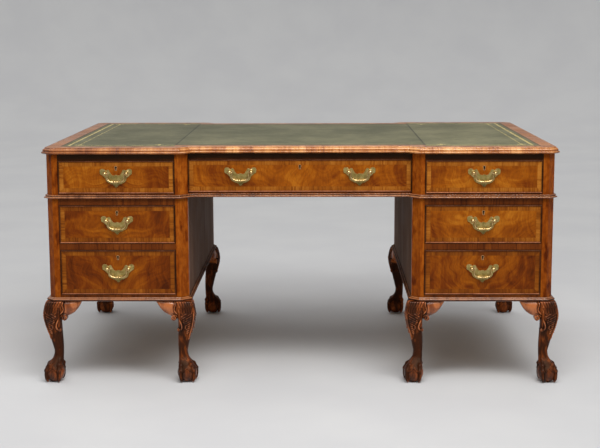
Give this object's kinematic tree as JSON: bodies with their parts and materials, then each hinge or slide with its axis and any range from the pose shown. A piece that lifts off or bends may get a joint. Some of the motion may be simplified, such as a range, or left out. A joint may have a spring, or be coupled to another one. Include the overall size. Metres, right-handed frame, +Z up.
{
  "type": "kneehole desk",
  "caption": "Walnut pedestal desk with a leather top, an open kneehole, locking drawers with brass bails, and carved cabriole legs on ball-and-claw feet.",
  "frame": {"origin": "on the floor under the middle of the desk", "axes": "+Z up, +Y from the drawer front to the back, +X along the length, to the right seen from the front"},
  "size_m": [1.728, 1.1338, 0.79],
  "materials": {
    "walnut": "polished",
    "figured_walnut": "polished veneer with cross-banded edges",
    "carved_walnut": "polished carving",
    "lining_oak": "bare",
    "leather": "gold-tooled",
    "brass": "aged"
  },
  "bodies": {
    "carcass": {"top_board": "walnut", "top_moulding": "walnut", "leather_panels": "leather", "frieze_posts": "walnut", "frieze_ends": "walnut", "frieze_partitions": "walnut", "frieze_rails": "walnut", "frieze_backs": "walnut", "frieze_dustboards": "lining_oak", "waist_moulding": "walnut", "pedestal_left_posts": "walnut", "pedestal_left_sides": "walnut", "pedestal_left_back": "walnut", "pedestal_left_rails": "walnut", "pedestal_left_boards": "lining_oak", "pedestal_left_base_moulding": "walnut", "pedestal_left_legs": "carved_walnut", "pedestal_right_posts": "walnut", "pedestal_right_sides": "walnut", "pedestal_right_back": "walnut", "pedestal_right_rails": "walnut", "pedestal_right_boards": "lining_oak", "pedestal_right_base_moulding": "walnut", "pedestal_right_legs": "carved_walnut"},
    "drawer_frieze_centre": {"drawer_front_frieze_centre": "figured_walnut", "drawer_box_frieze_centre": "lining_oak", "drawer_brasses_frieze_centre": "brass"},
    "bolt_frieze_centre": {"lock_bolt_frieze_centre": "brass"},
    "handle_frieze_centre_left": {"bail_frieze_centre_left": "brass"},
    "handle_frieze_centre_right": {"bail_frieze_centre_right": "brass"},
    "drawer_frieze_left": {"drawer_front_frieze_left": "figured_walnut", "drawer_box_frieze_left": "lining_oak", "drawer_brasses_frieze_left": "brass"},
    "bolt_frieze_left": {"lock_bolt_frieze_left": "brass"},
    "handle_frieze_left": {"bail_frieze_left": "brass"},
    "drawer_upper_left": {"drawer_front_upper_left": "figured_walnut", "drawer_box_upper_left": "lining_oak", "drawer_brasses_upper_left": "brass"},
    "bolt_upper_left": {"lock_bolt_upper_left": "brass"},
    "handle_upper_left": {"bail_upper_left": "brass"},
    "drawer_lower_left": {"drawer_front_lower_left": "figured_walnut", "drawer_box_lower_left": "lining_oak", "drawer_brasses_lower_left": "brass"},
    "bolt_lower_left": {"lock_bolt_lower_left": "brass"},
    "handle_lower_left": {"bail_lower_left": "brass"},
    "drawer_frieze_right": {"drawer_front_frieze_right": "figured_walnut", "drawer_box_frieze_right": "lining_oak", "drawer_brasses_frieze_right": "brass"},
    "bolt_frieze_right": {"lock_bolt_frieze_right": "brass"},
    "handle_frieze_right": {"bail_frieze_right": "brass"},
    "drawer_upper_right": {"drawer_front_upper_right": "figured_walnut", "drawer_box_upper_right": "lining_oak", "drawer_brasses_upper_right": "brass"},
    "bolt_upper_right": {"lock_bolt_upper_right": "brass"},
    "handle_upper_right": {"bail_upper_right": "brass"},
    "drawer_lower_right": {"drawer_front_lower_right": "figured_walnut", "drawer_box_lower_right": "lining_oak", "drawer_brasses_lower_right": "brass"},
    "bolt_lower_right": {"lock_bolt_lower_right": "brass"},
    "handle_lower_right": {"bail_lower_right": "brass"}
  },
  "joints": [
    {"name": "slide_frieze_centre", "type": "slide", "parent": "carcass", "child": "drawer_frieze_centre", "axis": [0, -1, 0], "range_m": [0, 0.42]},
    {"name": "throw_frieze_centre", "type": "slide", "parent": "drawer_frieze_centre", "child": "bolt_frieze_centre", "axis": [0, 0, 1], "range_m": [0, 0.008]},
    {"name": "swing_frieze_centre_left", "type": "hinge", "parent": "drawer_frieze_centre", "child": "handle_frieze_centre_left", "pos_m": [-0.19716, -0.512, 0.705], "axis": [-1, 0, 0], "range_deg": [0, 100]},
    {"name": "swing_frieze_centre_right", "type": "hinge", "parent": "drawer_frieze_centre", "child": "handle_frieze_centre_right", "pos_m": [0.19716, -0.512, 0.705], "axis": [-1, 0, 0], "range_deg": [0, 100]},
    {"name": "slide_frieze_left", "type": "slide", "parent": "carcass", "child": "drawer_frieze_left", "axis": [0, -1, 0], "range_m": [0, 0.42]},
    {"name": "throw_frieze_left", "type": "slide", "parent": "drawer_frieze_left", "child": "bolt_frieze_left", "axis": [0, 0, 1], "range_m": [0, 0.008]},
    {"name": "swing_frieze_left", "type": "hinge", "parent": "drawer_frieze_left", "child": "handle_frieze_left", "pos_m": [-0.6045, -0.552, 0.705], "axis": [-1, 0, 0], "range_deg": [0, 100]},
    {"name": "slide_upper_left", "type": "slide", "parent": "carcass", "child": "drawer_upper_left", "axis": [0, -1, 0], "range_m": [0, 0.42]},
    {"name": "throw_upper_left", "type": "slide", "parent": "drawer_upper_left", "child": "bolt_upper_left", "axis": [0, 0, 1], "range_m": [0, 0.008]},
    {"name": "swing_upper_left", "type": "hinge", "parent": "drawer_upper_left", "child": "handle_upper_left", "pos_m": [-0.6045, -0.552, 0.548], "axis": [-1, 0, 0], "range_deg": [0, 100]},
    {"name": "slide_lower_left", "type": "slide", "parent": "carcass", "child": "drawer_lower_left", "axis": [0, -1, 0], "range_m": [0, 0.42]},
    {"name": "throw_lower_left", "type": "slide", "parent": "drawer_lower_left", "child": "bolt_lower_left", "axis": [0, 0, 1], "range_m": [0, 0.008]},
    {"name": "swing_lower_left", "type": "hinge", "parent": "drawer_lower_left", "child": "handle_lower_left", "pos_m": [-0.6045, -0.552, 0.3865], "axis": [-1, 0, 0], "range_deg": [0, 100]},
    {"name": "slide_frieze_right", "type": "slide", "parent": "carcass", "child": "drawer_frieze_right", "axis": [0, -1, 0], "range_m": [0, 0.42]},
    {"name": "throw_frieze_right", "type": "slide", "parent": "drawer_frieze_right", "child": "bolt_frieze_right", "axis": [0, 0, 1], "range_m": [0, 0.008]},
    {"name": "swing_frieze_right", "type": "hinge", "parent": "drawer_frieze_right", "child": "handle_frieze_right", "pos_m": [0.6045, -0.552, 0.705], "axis": [-1, 0, 0], "range_deg": [0, 100]},
    {"name": "slide_upper_right", "type": "slide", "parent": "carcass", "child": "drawer_upper_right", "axis": [0, -1, 0], "range_m": [0, 0.42]},
    {"name": "throw_upper_right", "type": "slide", "parent": "drawer_upper_right", "child": "bolt_upper_right", "axis": [0, 0, 1], "range_m": [0, 0.008]},
    {"name": "swing_upper_right", "type": "hinge", "parent": "drawer_upper_right", "child": "handle_upper_right", "pos_m": [0.6045, -0.552, 0.548], "axis": [-1, 0, 0], "range_deg": [0, 100]},
    {"name": "slide_lower_right", "type": "slide", "parent": "carcass", "child": "drawer_lower_right", "axis": [0, -1, 0], "range_m": [0, 0.42]},
    {"name": "throw_lower_right", "type": "slide", "parent": "drawer_lower_right", "child": "bolt_lower_right", "axis": [0, 0, 1], "range_m": [0, 0.008]},
    {"name": "swing_lower_right", "type": "hinge", "parent": "drawer_lower_right", "child": "handle_lower_right", "pos_m": [0.6045, -0.552, 0.3865], "axis": [-1, 0, 0], "range_deg": [0, 100]}
  ]
}
